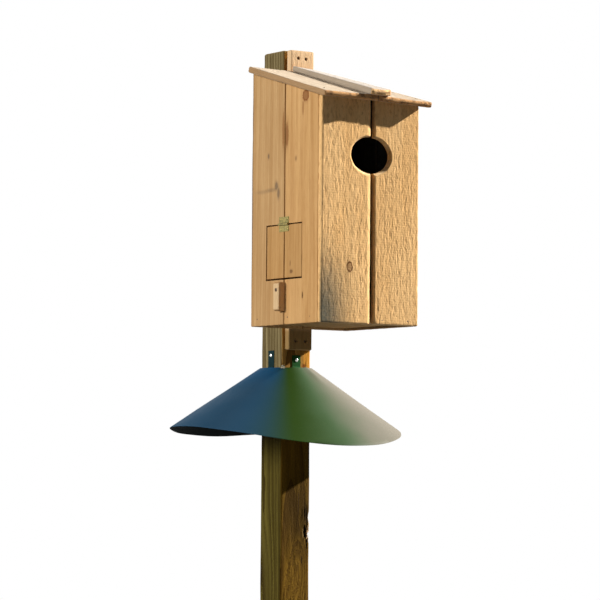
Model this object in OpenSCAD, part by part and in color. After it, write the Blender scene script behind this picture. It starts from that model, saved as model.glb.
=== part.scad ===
// Nest box of cedar boards on a square timber post, with a sheet cone below it.
// Millimetres. The origin is the centre of the post's foot on the ground,
// +Z is up and the front of the box, with the entrance hole, faces -Y.

/* [Post] */
// Side of the square post
post_side = 89; // [70:1:140]
// Height of the post above the ground
post_h = 2440; // [1800:10:3600]
// Radius of the post's eased edges
post_ease = 5; // [2:0.5:10]

/* [Mounting strip] */
// Width of the strip between box and post
strip_w = 70; // [50:1:85]
// Thickness of the strip
strip_t = 17.5; // [12:0.5:30]
// How far the strip and the post rise above the underside of the box
strip_rise = 699; // [660:1:760]
// How far the strip reaches below the box
strip_drop = 52; // [30:1:90]

/* [Box] */
// Height of the side boards at the back
rear_h = 631; // [560:1:640]
// Slope of the roof in degrees
roof_pitch = 15.8; // [8:0.1:25]
// Thickness of the wall and floor boards
board_t = 16; // [12:0.5:22]
// Shift of the box to the left of the post's centre line
box_shift = 4; // [0:0.5:10]
// Width of the left front board
front_left_w = 146; // [120:1:160]
// Width of the right front board
front_right_w = 134; // [120:1:160]
// Open seam between the two front boards
front_gap = 11; // [2:0.5:14]
// Width of the rear board of each side
side_rear_w = 141; // [130:1:160]
// Width of the front board of each side
side_front_w = 139; // [130:1:160]
// Seam between the two boards of a side, a back, a floor or a door
board_gap = 2; // [1:0.5:4]
// Height of the floor's underside above the lower edge of the walls
floor_recess = 6; // [3:0.5:15]

/* [Entrance hole] */
// Width of the oval hole
hole_w = 118; // [80:1:130]
// Height of the oval hole
hole_h = 90; // [60:1:110]
// Height of the hole's centre above the underside of the box
hole_z = 410; // [300:1:440]
// Offset of the hole to the right of the box's centre line
hole_x = 3; // [-10:0.5:10]
// Corners of the oval's outline
hole_sides = 72; // [36:4:96]

/* [Roof] */
// Thickness of the roof boards
roof_t = 15; // [12:0.5:22]
// Overhang of the roof at each side
roof_side_over = 16; // [8:1:40]
// Overhang of the roof in front
roof_front_over = 30; // [15:1:80]
// Gap between the two roof boards
roof_gap = 1; // [0.5:0.5:5]
// Width of the batten over the roof's seam
batten_w = 65; // [40:1:90]
// Thickness of the batten
batten_t = 15; // [10:0.5:22]
// How far the batten reaches past the roof's front edge
batten_over = 8; // [0:1:20]

/* [Door] */
// Width of the doorway in the left side
door_w = 155; // [120:1:170]
// Height of the doorway
door_h = 139; // [100:1:160]
// Height of the doorway's lower edge above the underside of the box
door_z = 108; // [106:1:140]
// Saw gap at the door's upper edge and sides
door_kerf = 5; // [5:0.5:8]
// Saw gap at the door's lower edge, which dips as it swings
door_foot_gap = 6.5; // [6.5:0.5:10]
// Width of the cross pieces behind the door
ledge_w = 30; // [20:1:40]
// Thickness of the cross pieces
ledge_t = 12; // [8:0.5:16]
// Inset of the cross pieces from the door's edges
ledge_inset = 12; // [10:1:20]

/* [Hinge] */
// Length of the hinge along its pin
hinge_l = 40; // [30:1:60]
// Height of one leaf, from the pin's axis to its edge
leaf_h = 18; // [14:0.5:24]
// Thickness of the leaves
leaf_t = 1.5; // [1:0.1:2]
// Outside radius of the knuckles
knuckle_r = 2.8; // [2.4:0.1:3]
// Radius of the pin
pin_r = 1.4; // [1.2:0.1:1.6]
// Distance of the pin's axis from the wall
pin_off = 3.2; // [3.1:0.1:4]

/* [Turn button] */
// Length of the button
button_l = 70; // [60:1:80]
// Width of the button
button_w = 24; // [18:0.5:30]
// Thickness of the button
button_t = 19; // [12:0.5:25]
// Radius of the button's rounded outer ends
button_round = 7; // [3:0.5:10]
// Distance of the button's screw below the doorway
button_drop = 24; // [18:0.5:30]
// Distance of the button's screw behind the seam of the side
button_y = 6; // [0:0.5:10]
// Radius of the button's screw
screw_r = 2; // [1.5:0.1:3]
// Radius of the screw's head
screw_head_r = 4.6; // [3.5:0.1:6]

/* [Predator guard] */
// Radius of the cone's rim
guard_rim_r = 290; // [220:1:340]
// Height of the cone's rim below the box, on average
guard_rim_drop = 259; // [220:1:300]
// Height of the cone's upper edge below the box
guard_top_drop = 97; // [80:1:120]
// Thickness of the sheet
guard_t = 1.2; // [0.8:0.1:2]
// Height of the rim's one-sided tilt
guard_tilt = 15; // [0:0.5:20]
// Direction of the tilt's high side, in degrees from +X
guard_tilt_dir = 72.5; // [0:0.5:360]
// Height of the rim's saddle-shaped warp
guard_warp = 18.5; // [0:0.5:25]
// Direction of the warp's high sides, in degrees from +X
guard_warp_dir = 2; // [0:0.5:180]
// Facets round the cone
guard_sides = 96; // [48:4:144]
// Facets by which the sheet laps over its own seam
guard_lap = 3; // [2:1:6]
// Direction of the seam, in degrees from +X
guard_seam_dir = 60; // [0:5:360]
// Width of each fastening tab
tab_w = 25; // [16:1:36]
// Height of each tab on the post, above the cone's upper edge
tab_h = 44; // [30:1:60]
// Height of the front tab, which ends below the strip
tab_front_h = 32; // [20:1:40]

/* [Output] */
// Name of the sub-part to draw, or all

/* [Hidden] */
// Clearances: a turning fit, a fixed fit and the gap under the turning button
run_clear = 0.05;
seat_clear = 0.02;
button_clear = 0.6;
knuckle_end_clear = 0.4;
tab_clear = 0.3;
tab_bend = 4;
lap_clear = 0.1;
roof_seat = 0.05;
round_fn = 48;

// Heights and planes of the box in the part's own frame
box_w = front_left_w + front_gap + front_right_w;
side_len = side_rear_w + board_gap + side_front_w;
box_d = board_t + side_len;
box_z = post_h - strip_rise;
back_y = -post_side/2 - strip_t;
front_y = back_y - box_d;
left_x = -box_shift - box_w/2;
right_x = -box_shift + box_w/2;
inner_w = box_w - 2*board_t;
back_board_w = (inner_w - board_gap)/2;
floor_d = side_len - board_t;
floor_board_d = (floor_d - board_gap)/2;

// Seam of a side, and the doorway and door about it
seam_y = back_y - side_rear_w - board_gap/2;
door_y0 = seam_y - door_w/2;
door_y1 = seam_y + door_w/2;
door_top = box_z + door_z + door_h - door_kerf;
door_foot = box_z + door_z + door_foot_gap;
pin_z = box_z + door_z + door_h - door_kerf/2;
pin_x = left_x - pin_off;
leaf_root = knuckle_r + 0.6;

// Knuckles: two on the fixed leaf with the moving one between them
knuckle_mid = hinge_l*0.36;
knuckle_end = (hinge_l - knuckle_mid)/2 - knuckle_end_clear;

// Turn button and its screw: hanging, its short end stays a saw gap below the doorway
button_short = button_drop - door_kerf;
button_z = door_z - button_drop;
button_y0 = seam_y + button_y;
button_back = left_x - button_clear;
screw_in = board_t - 3;
screw_head_t = 2.6;

// Guard: the cone's upper edge clears the corners of the post
guard_top_r = post_side/2*sqrt(2) + 2.5;
guard_top_z = box_z - guard_top_drop;
guard_rim_z = box_z - guard_rim_drop;

// Colours
cedar = [0.78, 0.66, 0.50];
cedar_shade = [0.70, 0.57, 0.42];
pine = [0.47, 0.42, 0.31];
sheet = [0.10, 0.15, 0.13];
brass = [0.80, 0.63, 0.30];
zinc = [0.72, 0.72, 0.70];

// Height of the roof's underside above that of the box, at a distance in front of the back plane
function roof_under(dist) = rear_h - dist*tan(roof_pitch);

// Square with eased corners
module eased_square(side, r) {
    square([side, side - 2*r], center = true);
    square([side - 2*r, side], center = true);
    for (sx = [-1, 1], sy = [-1, 1])
        translate([sx*(side/2 - r), sy*(side/2 - r)])
            circle(r, $fn = round_fn);
}

// Upright board whose upper end is cut to the roof's slope.
// near and far are its distances in front of the back plane.
module sloped_board(x0, width, near, far) {
    translate([x0, back_y, box_z])
        rotate([90, 0, 90])
            linear_extrude(width)
                polygon([[-far, 0], [-near, 0], [-near, roof_under(near)], [-far, roof_under(far)]]);
}

// Oval of the entrance hole, cut through both front boards
module entrance_cut() {
    translate([hole_x - box_shift, front_y + board_t + 1, box_z + hole_z])
        rotate([90, 0, 0])
            linear_extrude(board_t + 2)
                polygon([for (i = [0:hole_sides - 1])
                    [hole_w/2*cos(360*i/hole_sides), hole_h/2*sin(360*i/hole_sides)]]);
}

// Doorway cut through both boards of the left side
module doorway_cut() {
    translate([left_x - 1, door_y0, box_z + door_z])
        cube([board_t + 2, door_w, door_h]);
}

// Flat board lying on the roof's slope: x range, lower end, length and height above the walls
module slope_board(x0, width, front_reach, length, lift, thick) {
    translate([0, back_y - box_d - front_reach, box_z + roof_under(box_d + front_reach)])
        rotate([roof_pitch, 0, 0])
            translate([x0, 0, lift])
                cube([width, length, thick]);
}

// Half of the door between two distances along the side
module door_half(y0, y1) {
    translate([left_x, y0, door_foot])
        cube([board_t, y1 - y0, door_top - door_foot]);
}

// Cross piece behind the door
module door_ledge(z0) {
    translate([left_x + board_t, door_y0 + door_kerf + ledge_inset, z0])
        cube([ledge_t, door_w - 2*door_kerf - 2*ledge_inset, ledge_w]);
}

// Rod along the hinge pin
module pin_rod(y0, length, r) {
    translate([pin_x, y0, pin_z])
        rotate([-90, 0, 0])
            cylinder(r = r, h = length, $fn = round_fn);
}

// Rod along the turn button's screw, outwards from a plane
module screw_rod(x0, length, r) {
    translate([x0, button_y0, box_z + button_z])
        rotate([0, -90, 0])
            cylinder(r = r, h = length, $fn = round_fn);
}

// Height of the warped rim at an angle
function rim_z(a) = guard_rim_z + guard_tilt*cos(a - guard_tilt_dir)
    + guard_warp*cos(2*(a - guard_warp_dir));

// One edge line of the sheet, from the seam once round and on over the lap, rising by one sheet a turn
guard_steps = guard_sides + guard_lap;
function edge_line(r, drop, upper) = [for (i = [0:guard_steps])
    let (a = guard_seam_dir + 360*i/guard_sides, rise = (guard_t + lap_clear)*i/guard_sides)
    [r*cos(a), r*sin(a), (upper ? guard_top_z : rim_z(a)) + rise - drop]];

// Point i of edge line p, and the faces between edge lines p and q
function pt(p, i) = p*(guard_steps + 1) + i;
function band(p, q) = [for (i = [0:guard_steps - 1])
    each [[pt(p, i), pt(p, i + 1), pt(q, i + 1)], [pt(p, i), pt(q, i + 1), pt(q, i)]]];

// Fastening tab bent up from the cone's upper edge, on the post's face towards an angle
module guard_tab(angle, height) {
    reach = guard_top_r - post_side/2;
    intersection() {
        rotate([0, 0, angle])
            translate([post_side/2, tab_w/2, guard_top_z])
                rotate([90, 0, 0])
                    linear_extrude(tab_w)
                        polygon([[0, -guard_t], [reach, -guard_t], [reach, 0],
                            [tab_bend, 0], [guard_t, tab_bend], [guard_t, height], [0, height]]);
        translate([0, 0, guard_top_z - 2*guard_t])
            cylinder(r = guard_top_r - tab_clear, h = height + 4*guard_t, $fn = 2*round_fn);
    }
}

module post() {
    color(pine)
        linear_extrude(post_h)
            eased_square(post_side, post_ease);
}

module mounting_strip() {
    color(cedar)
        translate([-strip_w/2, back_y, box_z - strip_drop])
            cube([strip_w, strip_t, strip_rise + strip_drop]);
}

module back_board_left() {
    color(cedar_shade)
        sloped_board(left_x + board_t, back_board_w, 0, board_t);
}

module back_board_right() {
    color(cedar_shade)
        sloped_board(right_x - board_t - back_board_w, back_board_w, 0, board_t);
}

module left_side_rear_board() {
    color(cedar)
        difference() {
            sloped_board(left_x, board_t, 0, side_rear_w);
            doorway_cut();
            screw_rod(left_x + screw_in, screw_in + 1, screw_r + seat_clear);
        }
}

module left_side_front_board() {
    color(cedar)
        difference() {
            sloped_board(left_x, board_t, side_rear_w + board_gap, side_len);
            doorway_cut();
        }
}

module right_side_rear_board() {
    color(cedar)
        sloped_board(right_x - board_t, board_t, 0, side_rear_w);
}

module right_side_front_board() {
    color(cedar)
        sloped_board(right_x - board_t, board_t, side_rear_w + board_gap, side_len);
}

module front_board_left() {
    color(cedar)
        difference() {
            sloped_board(left_x, front_left_w, side_len, box_d);
            entrance_cut();
        }
}

module front_board_right() {
    color(cedar)
        difference() {
            sloped_board(right_x - front_right_w, front_right_w, side_len, box_d);
            entrance_cut();
        }
}

module floor_board(y0) {
    translate([left_x + board_t, y0, box_z + floor_recess])
        cube([inner_w, floor_board_d, board_t]);
}

module floor_board_front() {
    color(cedar_shade)
        floor_board(front_y + board_t);
}

module floor_board_rear() {
    color(cedar_shade)
        floor_board(back_y - board_t - floor_board_d);
}

// Length of the roof up the slope, so that its lower rear edge meets the strip
roof_len = (box_d + roof_front_over)/cos(roof_pitch);
roof_half = (box_w + 2*roof_side_over - roof_gap)/2;

module roof_board(x0) {
    slope_board(x0, roof_half, roof_front_over, roof_len, roof_seat, roof_t);
}

module roof_board_left() {
    color(cedar)
        roof_board(left_x - roof_side_over);
}

module roof_board_right() {
    color(cedar)
        roof_board(right_x + roof_side_over - roof_half);
}

module roof_batten() {
    color(cedar)
        slope_board(-box_shift - batten_w/2, batten_w, roof_front_over + batten_over,
            roof_len + batten_over/cos(roof_pitch), roof_t + 2*roof_seat, batten_t);
}

module door_rear_half() {
    color(cedar)
        door_half(seam_y + board_gap/2, door_y1 - door_kerf);
}

module door_front_half() {
    color(cedar)
        door_half(door_y0 + door_kerf, seam_y - board_gap/2);
}

module door_ledge_upper() {
    color(cedar_shade)
        door_ledge(door_top - ledge_inset - ledge_w);
}

module door_ledge_lower() {
    color(cedar_shade)
        door_ledge(door_foot + ledge_inset);
}

// Fixed leaf on the wall, with the two outer knuckles
module hinge_upper_leaf() {
    color(brass)
        difference() {
            union() {
                translate([left_x - leaf_t, seam_y - hinge_l/2, pin_z + leaf_root])
                    cube([leaf_t, hinge_l, leaf_h - leaf_root]);
                for (y0 = [seam_y - hinge_l/2, seam_y + hinge_l/2 - knuckle_end]) {
                    pin_rod(y0, knuckle_end, knuckle_r);
                    translate([left_x - leaf_t, y0, pin_z])
                        cube([leaf_t - (pin_off - knuckle_r), knuckle_end, leaf_h/2]);
                }
            }
            pin_rod(seam_y - hinge_l/2 - 1, hinge_l + 2, pin_r + seat_clear);
        }
}

// Moving leaf on the door, with the middle knuckle
module hinge_lower_leaf() {
    color(brass)
        difference() {
            union() {
                translate([left_x - leaf_t, seam_y - hinge_l/2, pin_z - leaf_h])
                    cube([leaf_t, hinge_l, leaf_h - leaf_root]);
                pin_rod(seam_y - knuckle_mid/2, knuckle_mid, knuckle_r);
                translate([left_x - leaf_t, seam_y - knuckle_mid/2, pin_z - leaf_h/2])
                    cube([leaf_t - (pin_off - knuckle_r), knuckle_mid, leaf_h/2]);
            }
            pin_rod(seam_y - hinge_l/2, hinge_l, pin_r + run_clear);
        }
}

module hinge_pin() {
    color(brass)
        pin_rod(seam_y - hinge_l/2, hinge_l, pin_r);
}

// Side view of the button: a bar whose two outer ends are rounded
module button_side() {
    translate([0, button_round])
        square([button_t, button_l - 2*button_round]);
    square([button_t - button_round, button_l]);
    for (z0 = [button_round, button_l - button_round])
        translate([button_t - button_round, z0])
            circle(button_round, $fn = round_fn);
}

// Block on one screw, drawn hanging clear of the door; half a turn brings it across the door's foot
module turn_button() {
    color(cedar)
        difference() {
            translate([button_back, button_y0 + button_w/2, box_z + button_z + button_short - button_l])
                rotate([90, 0, 0])
                    linear_extrude(button_w)
                        mirror([1, 0])
                            button_side();
            screw_rod(button_back + 1, button_t + 2, screw_r + run_clear);
        }
}

module turn_button_screw() {
    color(zinc)
        union() {
            screw_rod(left_x + screw_in, screw_in + 2*button_clear + button_t + screw_head_t/2, screw_r);
            screw_rod(button_back - button_t - button_clear, screw_head_t, screw_head_r);
        }
}

// Warped cone of sheet, lapped at its seam: outer top, outer rim, inner rim and inner top edge lines
module predator_guard() {
    color(sheet)
        polyhedron(
            points = concat(edge_line(guard_top_r, 0, true), edge_line(guard_rim_r, 0, false),
                edge_line(guard_rim_r, guard_t, false), edge_line(guard_top_r, guard_t, true)),
            faces = concat(band(0, 1), band(1, 2), band(2, 3), band(3, 0),
                [[for (p = [0:3]) pt(p, 0)], [for (p = [3:-1:0]) pt(p, guard_steps)]]));
}

module guard_tab_right() {
    color(sheet)
        guard_tab(0, tab_h);
}

module guard_tab_back() {
    color(sheet)
        guard_tab(90, tab_h);
}

module guard_tab_left() {
    color(sheet)
        guard_tab(180, tab_h);
}

module guard_tab_front() {
    color(sheet)
        guard_tab(270, tab_front_h);
}

post();
mounting_strip();
back_board_left();
back_board_right();
left_side_rear_board();
left_side_front_board();
right_side_rear_board();
right_side_front_board();
front_board_left();
front_board_right();
floor_board_front();
floor_board_rear();
roof_board_left();
roof_board_right();
roof_batten();
door_rear_half();
door_front_half();
door_ledge_upper();
door_ledge_lower();
hinge_upper_leaf();
hinge_lower_leaf();
hinge_pin();
turn_button();
turn_button_screw();
predator_guard();
guard_tab_front();
guard_tab_right();
guard_tab_back();
guard_tab_left();
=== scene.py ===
import math
import random

import bmesh
import bpy
from mathutils import Matrix, Vector, noise


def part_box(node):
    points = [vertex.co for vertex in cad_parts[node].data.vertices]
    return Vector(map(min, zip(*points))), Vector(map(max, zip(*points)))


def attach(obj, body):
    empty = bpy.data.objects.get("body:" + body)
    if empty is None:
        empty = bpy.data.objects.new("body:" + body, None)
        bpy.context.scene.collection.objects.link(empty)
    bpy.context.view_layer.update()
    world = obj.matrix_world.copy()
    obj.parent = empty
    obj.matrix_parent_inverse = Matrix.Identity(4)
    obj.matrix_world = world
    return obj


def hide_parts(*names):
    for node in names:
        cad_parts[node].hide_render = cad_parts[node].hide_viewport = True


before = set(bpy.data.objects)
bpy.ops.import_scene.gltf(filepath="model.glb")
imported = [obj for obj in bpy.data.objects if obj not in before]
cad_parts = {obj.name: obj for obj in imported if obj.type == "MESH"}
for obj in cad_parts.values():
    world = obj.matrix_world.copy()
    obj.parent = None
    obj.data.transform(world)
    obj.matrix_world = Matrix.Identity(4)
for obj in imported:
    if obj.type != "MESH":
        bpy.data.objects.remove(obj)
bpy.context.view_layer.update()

scene = bpy.context.scene
root = "box_and_post"
doorBody = "cleaning_door"
buttonBody = "turn_button"

xAxis, yAxis, zAxis = Vector((1, 0, 0)), Vector((0, 1, 0)), Vector((0, 0, 1))


def say(words):
    print("nest box:", words)


def between(a, b, k):
    return a + (b - a) * k


def wobble(x, y, z):
    return noise.noise(Vector((x, y, z)))


# planes of the box, read from the frame
postLo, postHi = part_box("post")
frontLo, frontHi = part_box("front_board_left")
rightLo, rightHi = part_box("front_board_right")
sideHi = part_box("left_side_rear_board")[1]
boxBottom = frontLo.z
leftX, rightX = frontLo.x, rightHi.x
frontY, backY = frontLo.y, sideHi.y
boardT = frontHi.y - frontLo.y
rearTop = sideHi.z
roofSlope = (rearTop - frontHi.z) / (backY - frontHi.y)  # rise of the walls' tops over their depth
roofPitch = math.atan(roofSlope)
slopeDir = Vector((0, math.cos(roofPitch), math.sin(roofPitch)))
slopeUp = Vector((0, -math.sin(roofPitch), math.cos(roofPitch)))

roofLo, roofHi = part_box("roof_board_right")
roofSag = {"front": 0.0045, "rear": 0.0105}  # how far the right board hangs at its outer edge


def sagAt(p):
    across = max(0.0, (p.x - roofLo.x) / (roofHi.x - roofLo.x))
    back = min(1, max(0, (p.y - roofLo.y) / (roofHi.y - roofLo.y)))
    return across * between(roofSag["front"], roofSag["rear"], back)


def wallTop(p):
    return rearTop - (backY - p.y) * roofSlope - sagAt(p)


# small mesh helpers
def softEdges(mesh, smoothAngle=35):
    mesh.shade_smooth()
    mesh.set_sharp_from_angle(angle=math.radians(smoothAngle))


def meshObject(name, bm, smoothAngle=35):
    mesh = bpy.data.meshes.new(name)
    bmesh.ops.recalc_face_normals(bm, faces=bm.faces)
    bm.to_mesh(mesh)
    bm.free()
    obj = bpy.data.objects.new(name, mesh)
    scene.collection.objects.link(obj)
    softEdges(mesh, smoothAngle)
    return obj


def coat(mesh, finish):
    mesh.materials.clear()
    mesh.materials.append(finish)


def place(obj, body, finish, node=None):
    coat(obj.data, finish)
    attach(obj, body)
    if node:
        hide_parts(node)


def cutWith(obj, cutter):
    mod = obj.modifiers.new("cut", "BOOLEAN")
    mod.operation = "DIFFERENCE"
    mod.solver = "EXACT"
    mod.object = cutter
    bpy.context.view_layer.update()
    done = bpy.data.meshes.new_from_object(obj.evaluated_get(bpy.context.evaluated_depsgraph_get()))
    old = obj.data
    if len(done.vertices) == len(old.vertices):
        say("cut left no mark on " + obj.name)
    obj.modifiers.clear()
    obj.data = done
    done.name = old.name
    bpy.data.meshes.remove(old)
    bpy.data.objects.remove(cutter)
    softEdges(done)


def skin(bm, rings):
    # faces from ring to ring and a cap on each end; a last ring of one point is a tip
    for lower, upper in zip(rings, rings[1:]):
        for i in range(len(lower)):
            j = (i + 1) % len(lower)
            far = (upper[j], upper[i]) if len(upper) > 1 else (upper[0],)
            bm.faces.new((lower[i], lower[j], *far))
    bm.faces.new(list(reversed(rings[0])))
    if len(rings[-1]) > 1:
        bm.faces.new(rings[-1])


def lathe(bm, centre, normal, profile, sides=20, cross=0.0):
    # rings of (radius, height) round a normal; cross sinks a cross-shaped recess of that depth
    normal = normal.normalized()
    u = zAxis.cross(normal).normalized()
    v = normal.cross(u).normalized()
    rMax = max(r for r, h in profile)
    armReach, armHalf = 0.62 * rMax, 0.13 * rMax
    rings = []
    for r, h in profile:
        if r == 0:
            rings.append([bm.verts.new(centre + normal * (h - cross))])
            continue
        ring = []
        for i in range(sides):
            a = 2 * math.pi * i / sides
            px, py = r * math.cos(a), r * math.sin(a)
            sunk = cross if h > 0 and r < armReach and min(abs(px), abs(py)) < armHalf else 0
            ring.append(bm.verts.new(centre + u * px + v * py + normal * (h - sunk)))
        rings.append(ring)
    skin(bm, rings)


def turnedMesh(name, places, normal, profile, sides=20, cross=0.0):
    bm = bmesh.new()
    for p in places:
        lathe(bm, Vector(p), normal, profile, sides, cross)
    return meshObject(name, bm)


def headProfile(r, dome, sunk):
    # underside, rim and crown of a screw or nail head
    return [(r * 0.45, -sunk), (r * 0.8, -sunk * 0.5), (r, 0.0), (r, dome * 0.25), (r * 0.86, dome * 0.72),
            (r * 0.62, dome * 0.92), (r * 0.4, dome), (r * 0.2, dome), (0, dome)]


# boards as lofts with eased arrises, sawn fibres and a little cupping
def outline(w, t, ease, across, edge):
    # points round a board's section, each with its outward direction
    pts = []

    def run(a0, b0, a1, b1, na, nb, n):
        for i in range(n + 1):
            pts.append((between(a0, a1, i / n), between(b0, b1, i / n), na, nb))

    def corner(ca, cb, start):
        for k in (0.25, 0.5, 0.75):
            a = math.radians(start + 90 * k)
            pts.append((ca + ease * math.cos(a), cb + ease * math.sin(a), math.cos(a), math.sin(a)))

    run(ease, 0, w - ease, 0, 0, -1, across)
    corner(w - ease, ease, -90)
    run(w, ease, w, t - ease, 1, 0, edge)
    corner(w - ease, t - ease, 0)
    run(w - ease, t, ease, t, 0, 1, across)
    corner(ease, t - ease, 90)
    run(0, t - ease, 0, ease, -1, 0, edge)
    corner(ease, ease, 180)
    return pts


# how the fibres bend and where they tear out into grooves
fibreShape = {"bend": 0.6, "grooveFrom": -0.08, "groove": 2.4}


def fibreHeight(p, seed, spec):
    # long torn fibres and flat waves, in metres about the sawn face
    q = p + Vector((seed * 3.1, seed * 1.7, seed * 2.3))
    fine = spec["fine"]
    bend = fibreShape["bend"] * wobble(q.x * 22, q.y * 22, q.z * 24)
    a = wobble(q.x * fine + bend, q.y * fine + bend, q.z * fine * spec.get("squeeze", 0.13))
    b = wobble(q.x * fine * 0.4 + bend, q.y * fine * 0.4, q.z * fine * 0.05 + 9)
    c = wobble(q.x * 9, q.y * 9, q.z * 5 + 4)
    groove = max(0.0, fibreShape["grooveFrom"] - a) * fibreShape["groove"] * max(0.0, 0.5 + b)
    return spec["fibre"] * (0.5 * a + 0.3 * b - 0.8 * groove) + spec["wave"] * c


def board(name, origin, axes, size, spec, seed, top=None, dent=None):
    # axes: width, thickness and length directions; top(point) gives the length at a point of the foot
    wDir, tDir, lDir = axes
    w, t, length = size
    ease = spec["ease"]
    nose = spec.get("nose", ease)
    endRag = spec.get("endRag", 0.0004)
    ring = outline(w, t, ease, max(4, round(w / spec["across"])), max(2, round(t / spec["across"])))
    n = max(6, round(length / spec["along"]))
    # distance from the end, and how far the section is drawn in there
    rounding = [(0, 1.0), (0.13 * nose, 0.5), (0.5 * nose, 0.13), (nose, 0.0)]
    stations = rounding + [(nose + (length - 2 * nose) * i / n, 0.0) for i in range(1, n)]
    stations += [(length - c, inset) for c, inset in reversed(rounding)]
    bm = bmesh.new()
    rings = []
    for c, inset in stations:
        row = []
        for a, b, na, nb in ring:
            foot = origin + wDir * a + tDir * b
            full = top(foot) if top else length
            s = c * full / length
            lift = fibreHeight(Vector((a, b, s)), seed, spec) * (1 - inset)
            lift -= spec["cup"] * (1 - (2 * a / w - 1) ** 2) * (nb if abs(nb) > 0.9 else 0)
            rag = 0.0
            if inset > 0:
                rag = wobble(a * 70, b * 70, seed * 5 + s * 3) + 0.5 * wobble(a * 210, b * 210, seed)
            pa = w / 2 + (a - w / 2) * (1 - 2 * ease * inset / w) + na * lift
            pb = t / 2 + (b - t / 2) * (1 - 2 * nose * inset / t) + nb * lift
            p = origin + wDir * pa + tDir * pb + lDir * (s + endRag * rag)
            row.append(bm.verts.new(dent(p) if dent else p))
        rings.append(row)
    skin(bm, rings)
    return meshObject(name, bm, 40)


def boxBoard(name, lo, hi, order, spec, seed, top=None, dent=None):
    # order: the axes of width, thickness and length
    axes = [{"x": xAxis, "y": yAxis, "z": zAxis}[letter] for letter in order]
    size = [getattr(hi, letter) - getattr(lo, letter) for letter in order]
    return board(name, lo.copy(), axes, size, spec, seed, top, dent)


say("helpers ready")


# shader node helpers
def add(tree, kind, **settings):
    node = tree.nodes.new(kind)
    for key, value in settings.items():
        setattr(node, key, value)
    return node


def feed(tree, socket, value):
    # a number or a colour is set on the socket, an output is linked to it
    if isinstance(value, (int, float)):
        socket.default_value = value
    elif isinstance(value, (tuple, Vector)):
        socket.default_value = (*value, 1) if socket.type == "RGBA" else value
    else:
        tree.links.new(value, socket)


def fill(tree, node, **inputs):
    for label, value in inputs.items():
        feed(tree, node.inputs[label.replace("_", " ")], value)
    return node


def mathNode(tree, op, a, b=None, clamp=False):
    node = add(tree, "ShaderNodeMath", operation=op, use_clamp=clamp)
    feed(tree, node.inputs[0], a)
    if b is not None:
        feed(tree, node.inputs[1], b)
    return node.outputs[0]


def times(tree, a, b):
    return mathNode(tree, "MULTIPLY", a, b)


def rest(tree, value):
    return mathNode(tree, "SUBTRACT", 1.0, value)


def vectorNode(tree, op, a, b=None):
    node = add(tree, "ShaderNodeVectorMath", operation=op)
    feed(tree, node.inputs[0], a)
    if b is not None:
        feed(tree, node.inputs[1], b)
    return node.outputs["Value" if op in ("LENGTH", "DOT_PRODUCT") else "Vector"]


def drawnOut(tree, vector, share):
    # patterns on this vector are stretched along local Z
    return vectorNode(tree, "MULTIPLY", vector, (1, 1, share))


def zPart(tree, vector):
    return fill(tree, add(tree, "ShaderNodeSeparateXYZ"), Vector=vector).outputs["Z"]


def rangeNode(tree, value, lo, hi, a=0.0, b=1.0, smooth=True):
    node = add(tree, "ShaderNodeMapRange", interpolation_type="SMOOTHSTEP" if smooth else "LINEAR")
    for i, v in enumerate((value, lo, hi, a, b)):
        feed(tree, node.inputs[i], v)
    return node.outputs[0]


def mixColour(tree, factor, a, b, blend="MIX"):
    node = add(tree, "ShaderNodeMix", data_type="RGBA", blend_type=blend)
    for i, v in ((0, factor), (6, a), (7, b)):
        feed(tree, node.inputs[i], v)
    return node.outputs[2]


def noiseNode(tree, vector, scale, detail, rough):
    node = add(tree, "ShaderNodeTexNoise", noise_dimensions="3D")
    return fill(tree, node, Vector=vector, Scale=scale, Detail=detail, Roughness=rough).outputs["Fac"]


def bumpNode(tree, height, strength, distance):
    node = add(tree, "ShaderNodeBump")
    return fill(tree, node, Height=height, Strength=strength, Distance=distance).outputs["Normal"]


def groupNode(tree, group, **inputs):
    return fill(tree, add(tree, "ShaderNodeGroup", node_tree=group), **inputs).outputs


# shader groups shared by the finishes
def newGroup(name, inputs, outputs):
    # inputs: label and default, a number or a vector; all outputs are numbers
    g = bpy.data.node_groups.new(name, "ShaderNodeTree")
    for label, value in inputs.items():
        kind = "NodeSocketFloat" if isinstance(value, float) else "NodeSocketVector"
        socket = g.interface.new_socket(name=label, in_out="INPUT", socket_type=kind)
        if value is not None:
            socket.default_value = value
    for label in outputs:
        g.interface.new_socket(name=label, in_out="OUTPUT", socket_type="NodeSocketFloat")
    return g, g.nodes.new("NodeGroupInput").outputs, g.nodes.new("NodeGroupOutput")


def grainGroup():
    # long grain along local Z: rings, streaks and short pores
    g, given, out = newGroup("boardGrain", {"Vector": None, "Ring Scale": 60.0, "Warp": 2.0},
                             ("Rings", "Streaks", "Pores", "Patches"))
    vec = given["Vector"]
    wave = add(g, "ShaderNodeTexWave", wave_type="RINGS", rings_direction="Z", wave_profile="SAW")
    fill(g, wave, Vector=drawnOut(g, vec, 0.12), Scale=given["Ring Scale"], Distortion=given["Warp"],
         Detail=2.0, Detail_Scale=0.6)
    streaks = noiseNode(g, drawnOut(g, vec, 0.025), 62, 6, 0.72)
    pores = noiseNode(g, drawnOut(g, vec, 0.045), 900, 2, 0.5)
    patches = noiseNode(g, drawnOut(g, vec, 0.22), 16, 3, 0.55)
    fill(g, out, Rings=wave.outputs["Fac"], Streaks=rangeNode(g, streaks, 0.33, 0.67),
         Pores=rangeNode(g, pores, 0.3, 0.7), Patches=rangeNode(g, patches, 0.28, 0.72))
    return g


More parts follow.
